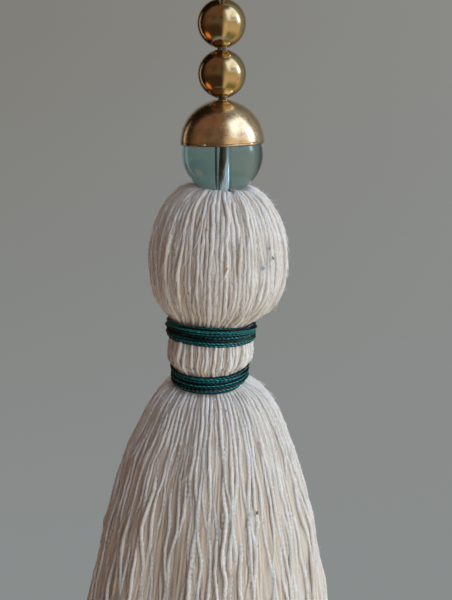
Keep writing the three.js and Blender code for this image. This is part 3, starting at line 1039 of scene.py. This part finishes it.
head = head_strands()
outer = outer_skirt()
second = under_skirt(seed=51, count=84, rings=44, depths=(1.25, 1.8), radius=0.50)
inner = inner_skirt(seed=53, count=170, rings=24, shares=(0.08, 0.92), radius=0.55)
yarn_piece("yarn_head", chosen(head, ON_TOP), sides=8, seed=41, replaced="yarn_bundle")
yarn_piece("yarn_head_under", chosen(head, ~ON_TOP), sides=5, seed=42)
packed_fill("yarn_head_fill", HEAD, 84, 64, reach=(0.01, 0.99), depths=(0.44, 0.38), relief=0.28, seed=48)
yarn_piece("yarn_skirt_outer", chosen(outer, ON_TOP), sides=8, seed=43, rough=0.05)
yarn_piece("yarn_skirt_between", chosen(outer, ~ON_TOP), sides=5, seed=44, rough=0.06)
yarn_piece("yarn_skirt_second", second, sides=6, seed=45)
packed_fill("yarn_skirt_fill", SKIRT, 124, 52, reach=(0.0, 0.88), depths=(0.28, 0.44), relief=0.24, seed=49)
yarn_piece("yarn_skirt_inner", inner, sides=5, seed=47)
fuzz("yarn_fuzz", (head, outer), per_source=(4200, 4000), seed=61)

# Coloured bits spun in with the cotton: which strands, direction in degrees from +X, height, size, colour.
FLECKS = [
    (head, -94, -96.0, 0.60, (0.05, 0.035, 0.030)), (head, -56, -96.0, 0.50, (0.80, 0.40, 0.42)),
    (head, -52, -105.7, 0.55, (0.30, 0.42, 0.54)), (head, -40, -103.3, 0.42, (0.06, 0.17, 0.20)),
    (head, -44, -101.6, 0.34, (0.16, 0.30, 0.44)), (head, -80, -105.2, 0.34, (0.80, 0.52, 0.16)),
    (head, -100, -96.5, 0.26, (0.45, 0.22, 0.16)), (head, -143, -113.1, 0.40, (0.82, 0.66, 0.34)),
    (head, -118, -112.0, 0.26, (0.35, 0.20, 0.14)), (head, 25, -106.0, 0.40, (0.16, 0.28, 0.42)),
    (head, 80, -98.0, 0.34, (0.60, 0.25, 0.25)), (head, 150, -110.0, 0.34, (0.06, 0.05, 0.05)),
    (outer, -53, -151.4, 0.34, (0.85, 0.42, 0.48)), (outer, -61, -167.4, 0.40, (0.02, 0.02, 0.025)),
    (outer, -86, -184.6, 0.36, (0.97, 0.98, 1.0)), (outer, -78, -142.6, 0.26, (0.06, 0.22, 0.42)),
    (outer, 10, -175.0, 0.36, (0.16, 0.28, 0.42)), (outer, 95, -160.0, 0.36, (0.72, 0.30, 0.32)),
    (outer, 170, -190.0, 0.36, (0.05, 0.035, 0.030)),
]


def fleck_material():
    """Coloured cotton waste: its colour comes with each bit."""
    made, nodes, shader = new_material(
        "fleck_cotton", Roughness=0.9, Sheen_Weight=0.3, Specular_IOR_Level=0.2
    )
    fine = nodes.noise(nodes.attribute("fibre"), (2.0, 2.0, 3.0), 3.0, 0.6)
    dull = nodes.ranged(fine, 0.3, 0.7, 0.35, 0.0)
    colour = nodes.mixed(dull, nodes.attribute("trait"), (0.45, 0.38, 0.32))
    nodes.join(colour, shader.inputs["Base Color"])
    return made


def flecks(name, seed):
    """Small tangles of coloured fibre on the outer strands."""
    rng = np.random.default_rng(seed)
    fibres = 6                  # in each tangle
    thickness = 0.095 * MM * np.array([0.5, 0.9, 1, 1, 1, 0.9, 0.5])       # at each ring
    t = np.linspace(-1, 1, len(thickness))[:, None]
    paths, leans, colours = [], [], []
    for strands, direction, height, size, colour in FLECKS:
        strand_paths, radii, outward, sunk, _ = strands
        target = hit(middle_at(height * MM), around(np.array(math.radians(direction))))
        near = np.linalg.norm(strand_paths - target, axis=-1) + (sunk > 0.2)    # sunken ones are far off
        i, j = np.unravel_index(near.argmin(), near.shape)
        up = outward[i, j]
        down = unit(strand_paths[i, j + 1] - strand_paths[i, j - 1])
        side = np.cross(down, up)
        middle = strand_paths[i, j] + up * (radii[i, j] + 0.45 * size * MM)
        for _ in range(fibres):
            heading = unit(down * rng.normal(0.9, 0.5) + side * rng.normal(0, 0.6))
            bow = unit(side * rng.normal() + down * rng.normal())
            start = middle + (side * rng.normal() * 0.28 + down * rng.normal() * 0.45) * size * MM
            route = heading * t * 0.75 + bow * t**2 * 0.5 + up * (0.15 - 0.3 * t**2)
            paths.append(start + route * size * MM)
            leans.append(np.repeat(up[None], len(t), 0))
            colours.append(np.tile(colour, (len(t), 1)))
    paths = np.array(paths)
    radii = np.broadcast_to(thickness, paths.shape[:2])
    piece = tube_object(name, paths, radii, np.array(leans), 5, np.array(colours), seed=seed)
    return wear(piece, fleck_material())


def bore_cotton():
    """The tuft's cotton. The renderer brings little light through the glass, so it gives off a little."""
    made = cotton_material(
        "bore_cotton", light=(0.93, 0.925, 0.91), warm=(0.88, 0.79, 0.68),
        shade=(0.70, 0.56, 0.42), deep=(0.76, 0.59, 0.42),
    )
    shader = made.node_tree.nodes["Principled BSDF"]
    shader.inputs["Emission Color"].default_value = (0.70, 0.74, 0.88, 1)
    shader.inputs["Emission Strength"].default_value = 0.38
    return made


def tuft(name, seed):
    """The hank's top fibres, drawn up beside the cord into the glass bead's bore."""
    rng = np.random.default_rng(seed)
    count, rings, tallest = 50, 18, 16      # tallest: in millimetres
    share = np.linspace(0, 1, rings)[None]
    across = rng.uniform(0, 1, (count, 1))          # from the tuft's left, which is short, to its right
    height = share * (0.30 + 0.60 * across) * rng.uniform(0.55, 1.0, (count, 1)) * tallest
    spread = 1 - 0.55 * height / tallest
    beside = np.radians(-12 - 112 * (1 - across) * spread)
    out = rng.uniform(1.20, 1.38, (count, 1)) + 0 * share
    angle = beside + 0.13 * waves(rng, count, height * MM, (3, 6))
    up = GLASS_BOTTOM.z - GLASS_MIDDLE[2] + (height + 0.3) * MM
    paths = GLASS_MIDDLE + STRING_UP * up[..., None] + around(angle) * (out * MM)[..., None]
    radii = rng.uniform(0.05, 0.11, (count, 1)) * MM * (1 - 0.6 * share)
    piece = tube_object(name, paths, radii, leaning(paths, "Y"), 4, flat_traits(paths, 1.0), seed=seed)
    return wear(piece, bore_cotton())


flecks("yarn_flecks", 63)
tuft("yarn_tuft", 65)

# ---- the bindings ----

THREAD = 0.52                   # the thread's thickness
PLY = 1 - 0.34 * (1 + np.cos(2 * TAU * np.arange(10) / 10)) / 2        # two plies laid together
GREEN = thread_material()
# How far each binding's lowest turn sags in front and rises on the right, in millimetres.
SAGS = {"wrap_upper": (0.6, 0.7), "wrap_lower": (0.9, 0.0)}


def ring_of(name):
    """A CAD ring's middle, and by direction: its angle, top, bottom and inner radius."""
    points = vertices_of(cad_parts[name])
    middle = (points.min(0) + points.max(0)) / 2
    level = points - middle
    angle = np.arctan2(level[:, 1], level[:, 0]) % TAU
    radius = np.linalg.norm(level[:, :2], axis=1)
    count = 40                  # directions in which the ring is measured
    nearest = np.round(angle / TAU * count).astype(int) % count
    rows = []
    for index in range(count):
        own = nearest == index
        height = points[own, 2]
        rows.append((TAU * index / count, height.max(), height.min(), radius[own].min()))
    return middle, np.array(rows)


def yarn_reach(angle, height):
    """How far the skirt's surface lies from its middle, for directions and heights."""
    along = np.interp(-height, -SKIRT.centres[:, 2], SKIRT.along)
    surface, _ = SKIRT.at(along, angle % TAU)
    return np.linalg.norm((surface - SKIRT.centre(along))[:, :2], axis=1)


def uneven(rng, wound, *swings):
    """A wandering line along the turns. Each swing is its count of waves in a turn, and its height."""
    return sum(size * MM * np.sin(TAU * wound * count + rng.uniform(0, TAU)) for count, size in swings)


def wound_path(wrap, turns, start, seed, climbs, inset):
    """The middle line of a thread wound down a CAD ring, as binding is told it."""
    rng = np.random.default_rng(seed)
    middle, rows = ring_of(wrap)
    drop, lift = SAGS[wrap]
    wound = np.linspace(0, turns, turns * 360)
    angle = math.radians(start) + TAU * wound
    edges = np.append(rows[:, 0], TAU)
    top, bottom, inner = (np.interp(angle % TAU, edges, np.append(own, own[0])) for own in rows.T[1:])
    half = THREAD / 2 * MM
    sag = (drop * (0.5 - 0.5 * np.sin(angle)) - lift * np.maximum(np.cos(angle), 0) ** 2) * MM
    height = top - half - (top - bottom + sag - 2 * half) * wound / turns
    height = height + uneven(rng, wound, (0.37, 0.10), (0.81, 0.12), (1.63, 0.07))
    radius = inner + half + (0.12 - inset) * MM
    radius = radius + uneven(rng, wound, (0.29, 0.10), (0.61, 0.17), (1.37, 0.10), (2.3, 0.08))
    for turn, direction, half_width, rise in climbs:
        at = turn + ((direction - start) % 360) / 360
        bump = np.exp(-(((wound - at) * 360 / half_width) ** 2)) * MM
        height = height + rise * bump
        radius = radius + (0.35 * abs(rise) + 0.2) * bump
    radius = np.maximum(radius, yarn_reach(angle, height) + (0.12 - inset) * MM)
    tuck = smooth(wound / 0.06) * smooth((turns - wound) / 0.06)
    radius = radius - (1 - tuck) * 0.9 * MM
    return np.stack([middle[0] + radius * np.cos(angle), middle[1] + radius * np.sin(angle), height], 1)


def binding(name, wrap, turns, start, seed, climbs=(), inset=0.0, step=0.24, replaced=None):
    """Turns of green thread wound down a CAD ring, unevenly, with their ends tucked under.
    start: the direction in degrees in which the thread starts.
    climbs: (turn, direction in degrees, half width in degrees, rise in mm) where a turn rides up.
    inset: how much further in an under layer lies, in mm, and step: how far apart its rings are."""
    paths = spread_evenly(wound_path(wrap, turns, start, seed, climbs, inset), step * MM)[0][None]
    share = np.linspace(0, turns, paths.shape[1])
    # Partly uneven dye and partly painted light catch: stretches of each turn painted lighter or darker.
    dye_and_light_catch = np.sin(TAU * share * 0.43 + start) + 0.7 * np.sin(TAU * share * 0.81 + 2)
    dye_and_light_catch = dye_and_light_catch + 0.5 * np.sin(TAU * share * 3.7)
    # The under layers are painted nearly black: painted shade in the gaps between the outer turns.
    traits = flat_traits(paths, (0.08 if inset else 1.0) * np.clip(0.72 + 0.45 * dye_and_light_catch, 0.06, 1.3))
    radii = np.full(paths.shape[:2], THREAD / 2 * MM * 1.02)
    piece = tube_object(
        name, paths, radii, leaning(paths, "Z"), 10, traits,
        twist=2.3 * MM, lobes=PLY, cells=3 * turns, facing=True, seed=seed,
    )
    return wear(piece, GREEN, replaced)


binding(
    "binding_upper", "wrap_upper", turns=8, start=160, seed=71, replaced="wrap_upper",
    climbs=[(0, 340, 16, 1.1), (1, 170, 30, 0.5), (3, 185, 40, 0.5), (4, 200, 30, -0.4)],
)
binding(
    "binding_lower", "wrap_lower", turns=6, start=150, seed=73, replaced="wrap_lower",
    climbs=[(0, 345, 18, 0.9), (2, 190, 35, 0.5)],
)
binding("binding_upper_under", "wrap_upper", turns=10, start=40, seed=75, inset=0.30, step=0.60)
binding("binding_lower_under", "wrap_lower", turns=8, start=70, seed=77, inset=0.30, step=0.60)

# ---- light, floor and background ----


def aimed(place, target):
    """A light's place and turn when it looks from one point at another."""
    place, target = Vector(place), Vector(target)
    return Matrix.Translation(place) @ (target - place).to_track_quat("-Z", "Y").to_matrix().to_4x4()


def area_light(name, azimuth, elevation, distance, size, power, colour):
    """A soft light that no polished surface shows. azimuth: degrees from the front to the right."""
    data = bpy.data.lights.new(name, "AREA")
    data.shape = "RECTANGLE"
    data.size, data.size_y = size
    data.energy = power
    data.color = colour
    light = bpy.data.objects.new(name, data)
    target = Vector((0, 0, -0.13))
    a, e = math.radians(azimuth), math.radians(elevation)
    place = target + distance * Vector((math.sin(a) * math.cos(e), -math.cos(a) * math.cos(e), math.sin(e)))
    light.matrix_world = aimed(place, target)
    light.visible_glossy = False
    light.visible_transmission = False
    bpy.context.scene.collection.objects.link(light)


def seen_wall(nodes, x, z):
    """The plain grey wall that the camera sees."""
    return nodes.layered(
        (0.216, 0.210, 0.190),
        (nodes.ranged(x, -0.2, 0.2), (0.254, 0.254, 0.240)),
        (nodes.ranged(z, 0.0, -0.45), (0.250, 0.266, 0.264)),
    )


def right_of_room(nodes, azimuth, elevation, ripple):
    """A pale golden table below, a dull wall, a big window with a bright bar in it, and what lies beyond."""
    ranged, within = nodes.ranged, nodes.within
    smudge = nodes.times(within(azimuth, 44, 74, 4), within(elevation, 17, 27, 3))
    pane = nodes.layered(
        (1.15, 1.16, 1.12),
        (ranged(azimuth, 60, 96), (1.70, 1.90, 2.10)),
        (ranged(elevation, 8, 40), (1.75, 1.90, 2.10)),
        (nodes.times(smudge, 0.75), (0.42, 0.40, 0.34)),
        (ranged(ripple, 0.52, 0.66, 0.0, 0.4), (0.50, 0.48, 0.42)),
    )
    raised = nodes.maths("ADD", elevation, ranged(azimuth, 68, 84, 0.0, 10.0))
    rise = nodes.times(ranged(raised, 6, 20), ranged(elevation, 68, 55))
    beyond = nodes.layered(
        (0.33, 0.34, 0.29),
        (ranged(elevation, -14, -30), (0.62, 0.50, 0.25)),
        (ranged(azimuth, 118, 150), (0.15, 0.13, 0.10)),
    )
    return nodes.layered(
        (0.84, 0.66, 0.42),
        (ranged(elevation, -26, -44), (0.30, 0.27, 0.12)),
        (ranged(azimuth, 40, 24), (0.92, 0.72, 0.45)),
        (ranged(elevation, -6, 24), (0.45, 0.39, 0.28)),
        (ranged(elevation, 50, 68), (0.17, 0.14, 0.10)),
        (nodes.times(within(azimuth, 27, 101, 7), rise), pane),
        (nodes.times(within(azimuth, 86, 96, 2), within(elevation, 7, 28, 3)), (6.0, 7.2, 8.4)),
        (ranged(azimuth, 99, 106), beyond),
    )


def left_of_room(nodes, azimuth, elevation, ripple):
    """Dim and reddish, darker below and behind, with one pale upright strip."""
    ranged, within = nodes.ranged, nodes.within
    return nodes.layered(
        (0.185, 0.098, 0.060),
        (ranged(azimuth, -66, -20), (0.160, 0.118, 0.074)),
        (ranged(ripple, 0.46, 0.62, 0.0, 0.55), (0.055, 0.036, 0.022)),
        (ranged(elevation, 26, 50), (0.185, 0.098, 0.062)),
        (ranged(elevation, 4, -14), (0.062, 0.038, 0.022)),
        (ranged(azimuth, -86, -104), (0.012, 0.007, 0.004)),
        (nodes.times(within(azimuth, -129, -121, 2), within(elevation, -38, 16, 8)), (0.78, 0.62, 0.42)),
    )


def through_glass(nodes, x):
    """Through the glass bead the back of the room is plain, with a pale and a blue edge on the right."""
    return nodes.layered(
        (0.165, 0.190, 0.185),
        (nodes.ranged(x, 0.5, -0.4), (0.280, 0.270, 0.250)),
        (nodes.within(x, 0.70, 0.75, 0.03), (0.27, 0.305, 0.305)),
        (nodes.ranged(x, 0.84, 0.90), (0.09, 0.25, 0.44)),
        (nodes.ranged(x, -0.60, -0.72), (0.17, 0.18, 0.18)),
        (nodes.ranged(x, -0.74, -0.84), (0.03, 0.035, 0.035)),
    )


def make_world():
    """The camera sees a plain grey wall. All else is lit by a room with a big window on the right."""
    world = bpy.data.worlds.new("room")
    world.use_nodes = True
    world.node_tree.nodes.clear()
    nodes = Nodes(world.node_tree)
    direction = nodes.make("ShaderNodeTexCoord").outputs["Generated"]
    x, y, z = nodes.parts(direction)
    degrees = 180 / math.pi
    azimuth = nodes.times(nodes.maths("ARCTAN2", x, nodes.times(y, -1.0)), degrees)
    elevation = nodes.times(nodes.maths("ARCSINE", z), degrees)
    ripple = nodes.noise(direction, 2.6, 3.0)
    towards_ember = {0: direction, 1: (-0.73, 0.05, -0.68)}
    ember = nodes.make("ShaderNodeVectorMath", towards_ember, operation="DOT_PRODUCT")
    ray = nodes.make("ShaderNodeLightPath").outputs
    lit = nodes.layered(
        left_of_room(nodes, azimuth, elevation, ripple),
        (
            nodes.times(nodes.ranged(azimuth, 3, 17), nodes.ranged(azimuth, 172, 160)),
            right_of_room(nodes, azimuth, elevation, ripple),
        ),
        (nodes.ranged(y, 0.78, 0.88), (0.24, 0.235, 0.22)),
        (nodes.ranged(ember.outputs["Value"], 0.968, 0.992), (1.25, 0.40, 0.10)),
        (nodes.times(ray["Is Transmission Ray"], nodes.ranged(y, -0.1, 0.2)), through_glass(nodes, x)),
        (ray["Is Camera Ray"], seen_wall(nodes, x, z)),
    )
    background = nodes.make("ShaderNodeBackground", {"Color": lit, "Strength": 1.0})
    nodes.make("ShaderNodeOutputWorld", {"Surface": background.outputs[0]})
    bpy.context.scene.world = world


def make_floor():
    """A plain pale floor, far enough below the hanging tassel to stay out of the picture."""
    corners, radius, height = 96, 0.75, -1.15
    points = around(TAU * np.arange(corners) / corners) * radius + np.array([0, 0, height])
    floor = mesh_object("floor", points, np.arange(corners), np.array([corners]))
    made, nodes, shader = new_material("pale_floor", Roughness=0.8)
    at = nodes.place()
    clouds = nodes.ranged(nodes.noise(at, 3.0), 0.3, 0.7)
    nodes.join(nodes.mixed(clouds, (0.60, 0.595, 0.575), (0.64, 0.635, 0.615)), shader.inputs["Base Color"])
    level = nodes.scaled(at, (1.0, 1.0, 0.0))
    far = nodes.make("ShaderNodeVectorMath", {0: level}, operation="LENGTH").outputs["Value"]
    clear = nodes.make("ShaderNodeBsdfTransparent").outputs[0]
    edge = nodes.ranged(far, 0.35, 0.74)
    fade = nodes.make("ShaderNodeMixShader", {0: edge, 1: shader.outputs[0], 2: clear})
    nodes.join(fade.outputs[0], made.node_tree.nodes["Material Output"].inputs["Surface"])
    floor.data.materials.append(made)


make_world()
make_floor()
area_light("window", 57, 37, 1.3, (2.4, 1.8), 9.0, (0.66, 0.87, 1.25))
area_light("low_fill", 26, -30, 1.3, (1.8, 1.2), 4.1, (0.93, 0.91, 0.91))
area_light("front_fill", 10, -12, 1.3, (1.2, 1.2), 1.1, (0.92, 0.93, 0.96))
area_light("left_fill", -118, 4, 1.3, (1.6, 1.6), 1.0, (1.0, 0.74, 0.56))
area_light("back_fill", 180, 25, 1.3, (2.0, 1.6), 12.0, (0.95, 0.97, 1.0))
bpy.context.scene.view_settings.view_transform = "Standard"
